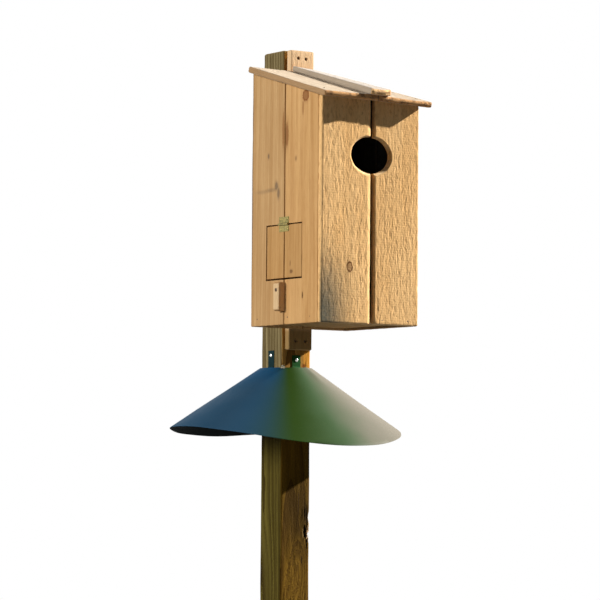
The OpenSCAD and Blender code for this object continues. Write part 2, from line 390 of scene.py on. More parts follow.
def sawnGroup():
    # rough-sawn face: torn curly fibres and the cross marks of a band saw, along local Z
    g, given, out = newGroup("sawnFace", {"Vector": None, "Cross Marks": 0.3, "Squeeze": 0.15},
                             ("Height", "Fuzz"))
    vec = given["Vector"]
    bent = times(g, noiseNode(g, drawnOut(g, vec, 0.9), 34, 3, 0.55), 0.016)
    shift = fill(g, add(g, "ShaderNodeCombineXYZ"), X=bent, Y=bent)
    squeeze = fill(g, add(g, "ShaderNodeCombineXYZ"), X=1, Y=1, Z=given["Squeeze"])
    curly = vectorNode(g, "MULTIPLY", vectorNode(g, "ADD", vec, shift.outputs[0]), squeeze.outputs[0])
    fleck = noiseNode(g, curly, 175, 4, 0.62)
    nap = noiseNode(g, curly, 520, 3, 0.6)
    kept = noiseNode(g, drawnOut(g, vec, 0.5), 34, 2, 0.5)
    torn = rest(g, times(g, rangeNode(g, fleck, 0.36, 0.52, 1, 0), rangeNode(g, kept, 0.30, 0.52, 0.35, 1)))
    saw = add(g, "ShaderNodeTexWave", wave_type="BANDS", bands_direction="Z", wave_profile="SIN")
    fill(g, saw, Vector=vec, Scale=55, Distortion=1.5, Detail=2, Detail_Scale=4)
    marks = times(g, saw.outputs["Fac"], given["Cross Marks"])
    fuzz = times(g, torn, rangeNode(g, nap, 0.3, 0.55, 0.72, 1.0))
    fill(g, out, Height=mathNode(g, "ADD", mathNode(g, "ADD", torn, times(g, nap, 1.7)), marks), Fuzz=fuzz)
    return g


def spotGroup():
    # one soft-edged spot, such as a knot, pitch mark or stain
    g, given, out = newGroup("spot", {"Vector": None, "Centre": None, "Reach": (0.01, 0.01, 0.01)},
                             ("Core", "Halo", "Border"))
    off = vectorNode(g, "SUBTRACT", given["Vector"], given["Centre"])
    rough = mathNode(g, "SUBTRACT", noiseNode(g, given["Vector"], 180, 3, 0.6), 0.5)
    d = vectorNode(g, "LENGTH", vectorNode(g, "DIVIDE", off, given["Reach"]))
    d = mathNode(g, "ADD", d, times(g, rough, 0.7))
    fromRim = mathNode(g, "ABSOLUTE", mathNode(g, "SUBTRACT", d, 0.95))
    fill(g, out, Core=rangeNode(g, d, 0.75, 1.15, 1, 0), Halo=rangeNode(g, d, 0.3, 2.2, 1, 0),
         Border=rangeNode(g, fromRim, 0.05, 0.30, 1, 0))
    return g


def endGroup():
    # mask of the end grain, where the surface faces along the board
    g, given, out = newGroup("endGrain", {"Normal": None, "Along": (0, 0, 1)}, ("Mask",))
    dot = vectorNode(g, "DOT_PRODUCT", given["Normal"], given["Along"])
    fill(g, out, Mask=rangeNode(g, mathNode(g, "ABSOLUTE", dot), 0.30, 0.75))
    return g


grain, sawn, spot, endCut = grainGroup(), sawnGroup(), spotGroup(), endGroup()


def newFinish(name):
    mat = bpy.data.materials.new(name)
    mat.use_nodes = True
    tree = mat.node_tree
    return mat, tree, tree.nodes["Principled BSDF"], add(tree, "ShaderNodeTexCoord").outputs


# wood finishes: colours of the face, of its rings and streaks and of the end grain
smoothWood = {"rough": 0.72, "fuzz": 0.14, "bump": 0.25, "cross": 0.0, "streaks": 0.58, "squeeze": 0.13,
              "gloss": 0.1}
planedWood = dict(smoothWood, rough=0.75, fuzz=0.12, bump=0.3)
sawnWood = dict(smoothWood, rough=0.85, fuzz=0.25, bump=0.6, cross=0.25, streaks=0.35)
cedarTones = {
    "side": dict(smoothWood, mid=(0.495, 0.290, 0.122), light=(0.70, 0.445, 0.205), dark=(0.36, 0.18, 0.060),
                 end=(0.36, 0.19, 0.07), rings=0.30),
    "sideFront": dict(smoothWood, mid=(0.59, 0.328, 0.121), light=(0.79, 0.485, 0.212),
                      dark=(0.38, 0.175, 0.052), end=(0.36, 0.19, 0.07), rings=0.27),
    "door": dict(smoothWood, mid=(0.545, 0.300, 0.108), light=(0.61, 0.36, 0.145), dark=(0.34, 0.16, 0.045),
                 end=(0.34, 0.17, 0.06), rings=0.40, streaks=0.6),
    "button": dict(planedWood, mid=(0.68, 0.47, 0.25), light=(0.76, 0.55, 0.32), dark=(0.42, 0.23, 0.085),
                   end=(0.40, 0.20, 0.07), rings=0.3, streaks=0.4),
    # a darker copy of the side tone for the right side boards: painted shade against the key lamp on that
    # side
    "paintedShadeSide": dict(planedWood, mid=(0.32, 0.196, 0.092), light=(0.36, 0.232, 0.112),
                      dark=(0.22, 0.118, 0.043), end=(0.32, 0.17, 0.07), rings=0.34, streaks=0.42),
    "front": dict(sawnWood, mid=(0.92, 0.540, 0.212), light=(0.95, 0.62, 0.285), dark=(0.42, 0.20, 0.060),
                  end=(0.84, 0.58, 0.31), endDark=(0.60, 0.36, 0.15), rough=0.88, fuzz=0.46, squeeze=0.30,
                  bump=0.56, cross=0.18, rings=0.14, streaks=0.24),
    "roof": dict(sawnWood, mid=(0.52, 0.420, 0.308), light=(0.57, 0.472, 0.360), dark=(0.41, 0.290, 0.178),
                 end=(0.66, 0.33, 0.110), endDark=(0.24, 0.095, 0.024), rings=0.25),
    "batten": dict(sawnWood, mid=(0.53, 0.468, 0.402), light=(0.60, 0.539, 0.477), dark=(0.37, 0.305, 0.239),
                   end=(0.86, 0.52, 0.210), endDark=(0.42, 0.19, 0.06), cross=0.2, rings=0.2),
    "strip": dict(planedWood, mid=(0.79, 0.535, 0.300), light=(0.85, 0.60, 0.36), dark=(0.52, 0.31, 0.14),
                  end=(0.45, 0.27, 0.12), bump=0.35, rings=0.25, streaks=0.3),
    "inside": dict(sawnWood, mid=(0.42, 0.25, 0.10), light=(0.50, 0.31, 0.13), dark=(0.30, 0.16, 0.055),
                   end=(0.32, 0.17, 0.07), fuzz=0.3, bump=0.7, rings=0.3, streaks=0.4),
    "post": dict(planedWood, mid=(0.580, 0.313, 0.074), light=(0.685, 0.37, 0.092),
                 dark=(0.120, 0.048, 0.006), end=(0.30, 0.19, 0.06), fuzz=0.15, bump=0.4, rings=0.90,
                 streaks=0.62, gloss=0.03),
}
# shares of the pale patches, the pores and the end grain, and how deep the surface looks
woodMix = {"patches": 0.55, "pores": 0.16, "ends": 0.85, "shade": 0.06, "roughSpan": 0.08,
           "streakRelief": 0.35, "bump": 0.8, "relief": 0.0011}


def woodFinish(name, toneName, seed, along=zAxis, spots=(), tilt=0.02, ringScale=30, pith=None, swirls=(),
               dampAndShade=None, paintedFacingShade=()):
    # along: direction of the grain; pith: middle of the rings; swirls: (centre, reach, push) of bent rings
    # spots: (centre, reach, colour, shares of core, border and halo)
    # the darkening below a height: (all dark below, none above, tint), partly damp wood and partly painted
    # shade; the facing tints: (direction, tint), painted shade on faces that look that way
    tone = cedarTones[toneName]
    mat, tree, bsdf, coords = newFinish(name)
    here = coords["Object"]
    rng = random.Random(seed)
    toGrain = along.rotation_difference(zAxis).to_euler()
    rotation = (toGrain.x + rng.uniform(-tilt, tilt), toGrain.y + rng.uniform(-tilt, tilt), toGrain.z)
    location = (rng.uniform(-0.5, 0.5), rng.uniform(-0.5, 0.5), rng.uniform(-2, 2))
    if pith:
        rotation = (toGrain.x + tilt, toGrain.y + tilt * 0.4, toGrain.z)
        location = (-pith[0], -pith[1], 0)
    turn = add(tree, "ShaderNodeMapping", vector_type="POINT")
    vec = fill(tree, turn, Vector=here, Rotation=rotation, Location=location).outputs["Vector"]
    ringVec = vec
    for centre, reach, push in swirls:
        knot = groupNode(tree, spot, Vector=here, Centre=centre, Reach=reach)
        shift = fill(tree, add(tree, "ShaderNodeCombineXYZ"), Y=times(tree, knot["Halo"], push))
        ringVec = vectorNode(tree, "ADD", ringVec, shift.outputs[0])
    fig = groupNode(tree, grain, Vector=ringVec, Ring_Scale=ringScale * rng.uniform(0.85, 1.15),
                    Warp=rng.uniform(2.5, 4.5))
    face = groupNode(tree, sawn, Vector=vec, Cross_Marks=tone["cross"], Squeeze=tone["squeeze"])
    ends = groupNode(tree, endCut, Normal=coords["Normal"], Along=along)

    shade = rng.uniform(-woodMix["shade"], woodMix["shade"])
    colour = tuple(c * (1 + shade) for c in tone["mid"])
    for mask, amount, tint in ((fig["Patches"], woodMix["patches"], tone["light"]),
                               (fig["Rings"], tone["rings"], tone["dark"]),
                               (rest(tree, fig["Streaks"]), tone["streaks"], tone["dark"]),
                               (fig["Pores"], woodMix["pores"], tone["light"]),
                               (rest(tree, face["Fuzz"]), tone["fuzz"], tone["dark"])):
        colour = mixColour(tree, times(tree, mask, amount), colour, tint)
    # darker below a height: painted shade under the box and the guard, partly damp wood
    if dampAndShade:
        darkBelow, clearAbove, tint = dampAndShade
        darkShare = rangeNode(tree, zPart(tree, here), darkBelow, clearAbove, 1, 0)
        colour = mixColour(tree, darkShare, colour, tint, "MULTIPLY")
    # painted shade on faces that look one way
    for facing, tint in paintedFacingShade:
        turned = vectorNode(tree, "DOT_PRODUCT", coords["Normal"], facing)
        colour = mixColour(tree, rangeNode(tree, turned, 0.4, 0.9), colour, tint, "MULTIPLY")
    mottle = rangeNode(tree, noiseNode(tree, vec, 75, 3, 0.6), 0.44, 0.66, 0, 0.8)
    endTone = mixColour(tree, mottle, tone["end"], tone.get("endDark", tone["dark"]))
    colour = mixColour(tree, times(tree, ends["Mask"], woodMix["ends"]), colour, endTone)
    for centre, reach, ink, core, border, halo in spots:
        mark = groupNode(tree, spot, Vector=here, Centre=centre, Reach=reach)
        for share, label in ((halo, "Halo"), (core, "Core"), (border, "Border")):
            if share:
                colour = mixColour(tree, times(tree, mark[label], share), colour, ink)
    span = woodMix["roughSpan"]
    rough = rangeNode(tree, fig["Streaks"], 0, 1, tone["rough"] + span, tone["rough"] - span, smooth=False)
    height = mathNode(tree, "ADD", times(tree, face["Height"], tone["bump"]),
                      times(tree, fig["Streaks"], woodMix["streakRelief"]))
    fill(tree, bsdf, Base_Color=colour, Roughness=rough, Specular_IOR_Level=tone["gloss"],
         Normal=bumpNode(tree, height, woodMix["bump"], woodMix["relief"]))
    return mat


def metalFinish(name, colour, dull, metallic, rough, scale=240):
    # blotched metal with fine scratches
    mat, tree, bsdf, coords = newFinish(name)
    blotch = noiseNode(tree, coords["Object"], scale, 3, 0.6)
    scratch = noiseNode(tree, vectorNode(tree, "MULTIPLY", coords["Object"], (1, 0.15, 1)), scale * 6, 2, 0.5)
    fill(tree, bsdf, Base_Color=mixColour(tree, rangeNode(tree, blotch, 0.4, 0.7), colour, dull),
         Roughness=rangeNode(tree, scratch, 0.3, 0.7, rough - 0.08, rough + 0.12), Metallic=metallic,
         Normal=bumpNode(tree, scratch, 0.3, 0.0002))
    return mat


brassFinish = metalFinish("dullBrass", (0.29, 0.230, 0.078), (0.13, 0.118, 0.042), 1.0, 0.42)
zincFinish = metalFinish("zincScrews", (0.66, 0.66, 0.62), (0.42, 0.41, 0.37), 1.0, 0.35)
scrapFinish = metalFinish("bareSheet", (0.42, 0.37, 0.26), (0.22, 0.19, 0.12), 0.5, 0.55)
rustFinish = metalFinish("rustyNails", (0.10, 0.055, 0.028), (0.055, 0.03, 0.016), 0.35, 0.6, 500)


def guardFinish(name, tone):
    # dull dark green paint with painted light: a painted sunlit tint and sun sheen on its sunny side, a
    # painted blue sky reflection on its shady side, deeper near the upper edge, and near-black painted shade
    # inside
    mat, tree, bsdf, coords = newFinish(name)
    here = coords["Object"]
    cloud = noiseNode(tree, here, 7, 3, 0.5)
    speck = noiseNode(tree, here, 420, 3, 0.6)
    flat = vectorNode(tree, "NORMALIZE", drawnOut(tree, here, 0))
    patchy = times(tree, mathNode(tree, "SUBTRACT", cloud, 0.5), 0.25)
    sunny = mathNode(tree, "ADD", vectorNode(tree, "DOT_PRODUCT", flat, tone["sunny"]), patchy)
    shady = vectorNode(tree, "DOT_PRODUCT", flat, tone["shady"])
    upper = rangeNode(tree, zPart(tree, here), tone["upperFrom"], tone["upperTo"])
    facing = zPart(tree, coords["Normal"])
    shadySkyTint = mixColour(tree, upper, tone["shadySkyTint"], tone["upper"])
    colour = tone["paint"]
    for mask, tint in ((rangeNode(tree, shady, 0.46, 0.88), shadySkyTint),
                       (rangeNode(tree, sunny, 0.12, 0.62), tone["sunlitTint"]),
                       (rangeNode(tree, sunny, 0.42, 1.0), tone["sunSheen"]),
                       (rangeNode(tree, speck, 0.55, 0.8, 0, 0.1), tone["dust"]),
                       (rangeNode(tree, facing, -0.1, -0.3), tone["inside"])):
        colour = mixColour(tree, mask, colour, tint)
    satin = rangeNode(tree, cloud, 0.3, 0.7, tone["rough"] - 0.06, tone["rough"] + 0.1)
    rough = mathNode(tree, "ADD", satin, rangeNode(tree, facing, -0.1, -0.3, 0, 0.5), clamp=True)
    dents = mathNode(tree, "ADD", cloud, times(tree, speck, 0.15))
    fill(tree, bsdf, Base_Color=colour, Roughness=rough, Specular_IOR_Level=tone["gloss"],
         Normal=bumpNode(tree, dents, 0.25, 0.0006))
    return mat


# the shady side's blues are a painted sky reflection, the pale sunny-side tones are painted sunlight and the
# inside tone is painted shade
guardTones = {"paint": (0.020, 0.047, 0.005), "shadySkyTint": (0.0175, 0.063, 0.116), "upper": (0.008, 0.064, 0.142),
              "sunlitTint": (0.053, 0.098, 0.042), "sunSheen": (0.182, 0.162, 0.126), "dust": (0.16, 0.17, 0.13),
              "inside": (0.004, 0.006, 0.006), "upperFrom": boxBottom - 0.155, "upperTo": boxBottom - 0.100,
              "rough": 0.56, "gloss": 0.05, "sunny": (0.82, -0.57, 0), "shady": (-1, 0.03, 0)}
# the tabs carry dark painted shade on their shady side and green painted sunlight on their sunny side
tabTones = dict(guardTones, shadySkyTint=(0.007, 0.024, 0.026), upper=(0.007, 0.024, 0.026),
                sunlitTint=(0.015, 0.080, 0.018), sunSheen=(0.022, 0.090, 0.026), dust=(0.06, 0.07, 0.06), gloss=0.03)
guardPaint = guardFinish("guardPaint", guardTones)
tabPaint = guardFinish("tabPaint", tabTones)
say("finishes ready")

# post
postSpec = {"ease": 0.005, "across": 0.0034, "along": 0.008, "fine": 130, "fibre": 0.0006, "wave": 0.0008,
            "cup": 0.0, "endRag": 0.0006}
postChip = {"z": boxBottom - 0.496, "half": 0.061, "depth": 0.0042, "width": 0.014,
            "inwards": (-0.5, 0.85, 0)}
# torn slots in the front face: x, height above the chip's middle, half width, half height, depth
postSlots = [(0.0300, -0.007, 0.0046, 0.017, 0.011), (0.0355, -0.027, 0.0027, 0.024, 0.010),
             (0.0215, 0.037, 0.0012, 0.016, 0.006), (0.0292, 0.038, 0.0014, 0.020, 0.007),
             (0.0360, 0.036, 0.0016, 0.025, 0.008), (0.0405, 0.012, 0.0012, 0.024, 0.006)]
slotSides = 28
chipZ = postChip["z"]


def chippedPost(p):
    # weathered chip along the front right arris
    k = 1 - ((p.z - chipZ) / postChip["half"]) ** 2
    fromEdge = max(postHi.x - p.x, p.y - postLo.y)
    if k <= 0 or fromEdge > postChip["width"]:
        return p
    torn = wobble(p.x * 150, p.y * 150, p.z * 34) + 0.6 * wobble(3, p.y * 60, p.z * 75)
    bite = max(0.0, 0.30 + 1.3 * torn) * min(1, 2 * k) * (1 - fromEdge / postChip["width"]) ** 0.6
    return p + Vector(postChip["inwards"]) * postChip["depth"] * min(bite, 1.2)


def slotCutter(x, up, halfW, halfH, depth):
    # ragged upright lens, narrower at its bottom
    bm = bmesh.new()
    rings = []
    for y, share in ((postLo.y - 0.004, 1.1), (postLo.y + 0.001, 1.0), (postLo.y + depth, 0.5)):
        ring = []
        for i in range(slotSides):
            a = 2 * math.pi * i / slotSides
            rag = 1 + 0.45 * wobble(math.cos(a) * 2.2, math.sin(a) * 2.2, x * 900)
            ring.append(bm.verts.new((x + halfW * share * rag * math.cos(a), y,
                                      chipZ + up + halfH * share ** 0.4 * math.sin(a))))
        rings.append(ring)
    skin(bm, rings)
    return meshObject("cutter", bm)


def postSpot(x, sunk, z, *look):
    return ((x, postLo.y + sunk, z), *look)


# the near-black ink is painted shade inside the torn slots and on one small torn mark; the pale ink is torn
# fibre
tornShadeInk, paleInk = (0.010, 0.006, 0.003), (0.42, 0.26, 0.10)
postSpots = [postSpot(0.010, 0, boxBottom - 0.45, (0.040, 0.008, 0.085), (0.035, 0.018, 0.002), 0, 0, 0.75),
             postSpot(0.0245, 0.003, chipZ - 0.012, (0.0016, 0.006, 0.013), paleInk, 0.8, 0, 0),
             postSpot(0.0310, 0.006, chipZ - 0.008, (0.0046, 0.012, 0.017), tornShadeInk, 0.95, 0, 0.1),
             postSpot(0.0355, 0.006, chipZ - 0.028, (0.0028, 0.012, 0.023), tornShadeInk, 0.95, 0, 0.1),
             postSpot(0.0330, 0.006, chipZ + 0.038, (0.0075, 0.010, 0.020), tornShadeInk, 0.45, 0, 0.2),
             postSpot(0.0420, 0.004, chipZ + 0.010, (0.0016, 0.010, 0.030), paleInk, 0.7, 0, 0),
             postSpot(0.0215, 0, chipZ - 0.078, (0.0014, 0.010, 0.011), tornShadeInk, 0.9, 0, 0.1),
             postSpot(0.0100, 0, chipZ + 0.062, (0.0016, 0.010, 0.030), (0.030, 0.014, 0.005), 0.7, 0, 0.2),
             ((postLo.x, 0.040, boxBottom - 0.612), (0.010, 0.006, 0.030), (0.022, 0.015, 0.006),
              0.9, 0, 0.3),
             # a brighter orange patch where the key lamp reaches the post above the guard: painted sunlight
             postSpot(0.035, 0, boxBottom - 0.076, (0.014, 0.010, 0.026), (0.66, 0.28, 0.035), 0.7, 0, 0.3),
             postSpot(0.024, 0, boxBottom - 0.092, (0.005, 0.010, 0.006), (0.20, 0.05, 0.010), 0.8, 0.3, 0.2)]
postLook = {
    "tilt": 0.03, "ringScale": 29, "pith": (0.004, -0.012),
    "swirls": [((0.016, postLo.y, boxBottom - 0.60), (0.016, 0.03, 0.05), 0.030),
               ((-0.010, postLo.y, boxBottom - 0.80), (0.02, 0.03, 0.12), 0.035),
               ((postLo.x, 0.01, boxBottom - 0.64), (0.03, 0.02, 0.10), 0.02)],
    # below the guard the post is darker, partly damp wood and partly painted shade of the guard; its left
    # face gets a cool painted shade and its right face painted shade
    "dampAndShade": (boxBottom - 0.30, boxBottom - 0.13, (0.42, 0.415, 0.165)),
    "paintedFacingShade": [(-xAxis, (0.50, 0.72, 1.40)), (xAxis, (0.78, 0.78, 0.82))],
}
post = boxBoard("postTimber", Vector((postLo.x, postLo.y, 0)), postHi, "xyz", postSpec, 11, dent=chippedPost)
for slot in postSlots:
    cutWith(post, slotCutter(*slot))
place(post, root, woodFinish("treatedPine", "post", 11, spots=postSpots, **postLook), "post")

splinterSpec = {"count": 9, "steps": 6, "sides": 5, "flat": 0.6, "bow": (0.0006, -0.0012, 0), "sunk": 0.0035}


def sliver(bm, foot, tip, thick):
    # one torn splinter: a thin spike, bowed outwards
    steps, sides = splinterSpec["steps"], splinterSpec["sides"]
    rows = []
    for i in range(steps):
        k = i / steps
        mid = foot.lerp(tip, k) + Vector(splinterSpec["bow"]) * math.sin(math.pi * k)
        r = thick * (1 - k) ** 0.7 * (0.6 + 0.4 * min(1, k * 5))
        turns = [2 * math.pi * j / sides for j in range(sides)]
        rows.append([bm.verts.new(mid + Vector((math.cos(a) * r, math.sin(a) * r * splinterSpec["flat"], 0)))
                     for a in turns])
    rows.append([bm.verts.new(tip)])
    skin(bm, rows)


rng = random.Random(7)
bm = bmesh.new()
for i in range(splinterSpec["count"]):
    base = Vector((postHi.x - rng.uniform(0.001, 0.011), postLo.y + splinterSpec["sunk"],
                   chipZ + rng.uniform(-0.052, 0.030)))
    lean = Vector((rng.uniform(-0.003, 0.002), rng.uniform(-0.0035, 0), rng.uniform(0.018, 0.036)))
    sliver(bm, base, base + lean, rng.uniform(0.0008, 0.0016))
place(meshObject("postSplinters", bm), root, woodFinish("splinterWood", "strip", 12))
say("post")

# wall boards
wallSpec = {"ease": 0.0022, "across": 0.0045, "along": 0.009, "fine": 160, "fibre": 0.00035, "wave": 0.0006,
            "cup": 0.0006}


def uprightBoard(name, node, spec, tone, seed, spots=(), order="yxz", cuts=(), dent=None, paintedFacingShade=()):
    lo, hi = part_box(node)
    obj = boxBoard(name, lo, hi, order, spec, seed, top=lambda p: wallTop(p) - lo.z, dent=dent)
    for cut in cuts:
        cutWith(obj, cut())
    place(obj, root, woodFinish(name + "Wood", tone, seed, spots=spots, paintedFacingShade=paintedFacingShade), node)


doorRearLo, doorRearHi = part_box("door_rear_half")
doorFrontLo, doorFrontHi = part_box("door_front_half")
seamY = (doorRearLo.y + doorFrontHi.y) / 2
# how much wider the doorway is cut, how much the door grows into it, and how far the cutter stands out
doorKerf = {"side": 0.004, "top": 0.0035, "foot": 0.0050, "grow": 0.0012, "through": 0.02}
screwLo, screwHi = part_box("turn_button_screw")
screwMid = (screwLo + screwHi) / 2
pilotHole = {"r": 0.0021, "before": 0.01, "depth": 0.0235}


def doorwayCutter():
    kerf, past = doorKerf, doorKerf["through"]
    lo = Vector((leftX - past, doorFrontLo.y - kerf["side"], doorRearLo.z - kerf["foot"]))
    hi = Vector((leftX + boardT + past, doorRearHi.y + kerf["side"], doorRearHi.z + kerf["top"]))
    mid, span = (lo + hi) / 2, hi - lo
    bm = bmesh.new()
    bmesh.ops.create_cube(bm, size=1.0)
    for v in bm.verts:
        v.co = Vector((mid.x + v.co.x * span.x, mid.y + v.co.y * span.y, mid.z + v.co.z * span.z))
    return meshObject("cutter", bm)


def pilotCutter():
    r, depth = pilotHole["r"], pilotHole["depth"]
    at = (leftX - pilotHole["before"], screwMid.y, screwMid.z)
    return turnedMesh("cutter", [at], xAxis, [(r, 0.0), (r, depth), (0, depth)])


def sideSpot(y, z, *look):
    return ((leftX, frontY + y, boxBottom + z), *look)


knotInk, pitchInk, smudgeInk = (0.23, 0.085, 0.025), (0.17, 0.08, 0.03), (0.15, 0.10, 0.060)
seamStain = ((leftX, seamY, boxBottom + 0.32), (0.014, 0.0030, 0.42), (0.27, 0.125, 0.035), 0.85, 0, 0.25)
sideFrontSpots = [sideSpot(0.069, 0.551, (0.014, 0.0115, 0.0125), knotInk, 0.60, 1.0, 0.45),
                  sideSpot(0.080, 0.522, (0.010, 0.0035, 0.018), (0.30, 0.13, 0.04), 0.6, 0, 0.3),
                  sideSpot(0.148, 0.462, (0.014, 0.007, 0.030), (0.24, 0.10, 0.03), 0.8, 0, 0.5),
                  sideSpot(0.108, 0.401, (0.014, 0.004, 0.006), pitchInk, 0.35, 0, 0.25),
                  sideSpot(0.077, 0.068, (0.006, 0.0025, 0.0085), (0.10, 0.045, 0.015), 1.0, 0, 0.2),
                  seamStain]
sideRearSpots = [seamStain, sideSpot(0.191, 0.341, (0.008, 0.0060, 0.009), smudgeInk, 0.55, 0, 0.5),
                 sideSpot(0.212, 0.332, (0.008, 0.016, 0.004), smudgeInk, 0.12, 0, 0.32),
                 sideSpot(0.250, 0.330, (0.008, 0.022, 0.004), smudgeInk, 0.06, 0, 0.25),
                 sideSpot(0.182, 0.322, (0.008, 0.0050, 0.012), smudgeInk, 0.50, 0, 0.5),
                 sideSpot(0.225, 0.416, (0.008, 0.0035, 0.006), smudgeInk, 0.6, 0, 0.4),
                 sideSpot(0.163, 0.475, (0.014, 0.004, 0.045), (0.28, 0.12, 0.035), 0.7, 0, 0.5),
                 ((leftX, backY, boxBottom + 0.36), (0.012, 0.0055, 0.30), (0.17, 0.09, 0.035), 0.8, 0, 0.4)]
# painted shade on the inner faces, the dark of the box's inside
insideShade = ((0.050, 0.060, 0.066), 0.92, 0, 0)
backInsideShade = [((0, backY - boardT, boxBottom + 0.36), (0.15, 0.005, 0.30), *insideShade)]
rightInsideShade = ((rightX - boardT, (frontY + backY) / 2, boxBottom + 0.36), (0.005, 0.16, 0.30), *insideShade)
rightKnot = (knotInk, 0.35, 0.8, 0.35)
rightRearSpots = [((rightX, backY - 0.06, boxBottom + 0.22), (0.014, 0.010, 0.014), *rightKnot),
                  rightInsideShade]
rightFrontSpots = [((rightX, frontY + 0.10, boxBottom + 0.41), (0.014, 0.008, 0.011), *rightKnot),
                   rightInsideShade]
uprightBoard("sideBoardRearLeft", "left_side_rear_board", wallSpec, "side", 21, sideRearSpots,
             cuts=(doorwayCutter, pilotCutter))
uprightBoard("sideBoardFrontLeft", "left_side_front_board", wallSpec, "sideFront", 22, sideFrontSpots,
             cuts=(doorwayCutter,))
uprightBoard("sideBoardRearRight", "right_side_rear_board", wallSpec, "paintedShadeSide", 23, rightRearSpots)
uprightBoard("sideBoardFrontRight", "right_side_front_board", wallSpec, "paintedShadeSide", 24, rightFrontSpots)
uprightBoard("backBoardLeft", "back_board_left", wallSpec, "side", 25, backInsideShade, "xyz")
uprightBoard("backBoardRight", "back_board_right", wallSpec, "side", 26, backInsideShade, "xyz")
say("sides and back")

# front boards with the oval hole
frontSpec = {"ease": 0.0036, "across": 0.0018, "along": 0.0036, "fine": 165, "fibre": 0.00058, "wave": 0.0004,
             "cup": 0.0004, "squeeze": 0.33}
holeSpec = {"x": -0.001, "z": boxBottom + 0.410, "halfW": 0.058, "halfH": 0.0445, "arris": 0.0046,
            "rag": 0.0007, "wornTo": 222, "worn": 0.55, "sides": 120}


def holeCutter():
    # rings from before the front face inwards, wider where the arris is worn round
    h, arris = holeSpec, holeSpec["arris"]
    bm = bmesh.new()
    rings = []
    for y, grow in ((-0.006, arris * 2.4), (0.0002, arris), (arris * 0.45, arris * 0.60),
                    (arris * 0.95, arris * 0.22), (arris * 1.5, 0), (boardT + 0.004, 0)):
        ring = []
        for i in range(h["sides"]):
            a = 2 * math.pi * i / h["sides"]
            c, s = math.cos(a), math.sin(a)
            wear = 1 + h["worn"] * math.cos(a - math.radians(h["wornTo"])) + 0.15 * wobble(c * 5, s * 5, 3)
            out = grow * wear + h["rag"] * wobble(c * 3, s * 3, 7)
            ring.append(bm.verts.new((h["x"] + (h["halfW"] + out) * c, frontY + y,
                                      h["z"] + (h["halfH"] + out) * s)))
        rings.append(ring)
    skin(bm, rings)
    return meshObject("cutter", bm)


# width and depth of the wear on each side of the open seam
seamWear = {"left": (0.0095, 0.0032), "right": (0.0030, 0.0010)}


def wornSeam(p):
    # the edges along the open seam are worn to a shallow bevel
    wide, deep = seamWear["left" if p.x < (frontHi.x + rightLo.x) / 2 else "right"]
    u = min(abs(p.x - frontHi.x), abs(p.x - rightLo.x)) / wide
    if u < 1:
        p.y = max(p.y, frontY + deep * (1 - u) ** 1.4 * (1 + 0.3 * wobble(p.x * 90, 5, p.z * 40)))
    return p


# the front boards get painted shade on their right-facing faces
frontLook = {"order": "xyz", "cuts": (holeCutter,), "dent": wornSeam,
             "paintedFacingShade": [(xAxis, (0.48, 0.45, 0.41))]}
frontLeftSpots = [((-0.066, frontY, boxBottom + 0.136), (0.0080, 0.014, 0.0115), (0.15, 0.055, 0.014),
                   0.42, 1.0, 0.3),
                  # a grey painted shadow, cast from beyond the box, at the foot of the left board
                  ((leftX - 0.004, frontY - 0.003, boxBottom + 0.01), (0.056, 0.0065, 0.112),
                   (0.105, 0.10, 0.070), 0, 0, 1.0)]
uprightBoard("frontBoardLeft", "front_board_left", frontSpec, "front", 31, frontLeftSpots, **frontLook)
uprightBoard("frontBoardRight", "front_board_right", frontSpec, "front", 32, **frontLook)
say("front")

# floor
floorSpec = {"ease": 0.0015, "across": 0.006, "along": 0.012, "fine": 160, "fibre": 0.0004, "wave": 0.0004,
             "cup": 0.0}
for side, seed in (("front", 41), ("rear", 42)):
    node = "floor_board_" + side
    obj = boxBoard("floorBoard" + side.title(), *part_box(node), "yzx", floorSpec, seed)
    place(obj, root, woodFinish("floorWood" + side.title(), "inside", seed, along=xAxis), node)

# roof and batten, lofted up the slope
roofSpec = {"ease": 0.003, "across": 0.0045, "along": 0.007, "fine": 150, "fibre": 0.0006, "wave": 0.0007,
            "cup": 0.0008, "endRag": 0.0020, "nose": 0.0060}
# tints of the left faces of the roof boards and the batten and of all right faces: painted shade
roofSideShade = {"roof": (0.80, 0.60, 0.40), "batten": (0.76, 0.69, 0.59), "right": (0.62, 0.60, 0.57)}


def slopeSpan(node, direction):
    reach = [v.co.dot(direction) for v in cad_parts[node].data.vertices]
    return min(reach), max(reach)


def slopedBoard(name, node, tone, seed, dent=None):
    lo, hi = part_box(node)
    run0, run1 = slopeSpan(node, slopeDir)
    rise0, rise1 = slopeSpan(node, slopeUp)
    origin = Vector((lo.x, 0, 0)) + slopeDir * run0 + slopeUp * rise0
    size = (hi.x - lo.x, rise1 - rise0, run1 - run0)
    obj = board(name, origin, (xAxis, slopeUp, slopeDir), size, roofSpec, seed, dent=dent)
    paintedFacingShade = [(-xAxis, roofSideShade[tone]), (xAxis, roofSideShade["right"])]
    place(obj, root, woodFinish(name + "Wood", tone, seed, along=slopeDir, paintedFacingShade=paintedFacingShade), node)


battenLo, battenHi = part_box("roof_batten")
battenFoot, battenCrown = slopeSpan("roof_batten", slopeUp)
# how much of the batten is planed away at its lower end and at the corners of its upper end
battenWedge = {"lower": -0.0012, "upperLeft": 0.0020, "upperRight": 0.0060}
battenCorner = {"deep": 0.010, "along": 0.012, "across": 0.020}  # the worn lower right corner


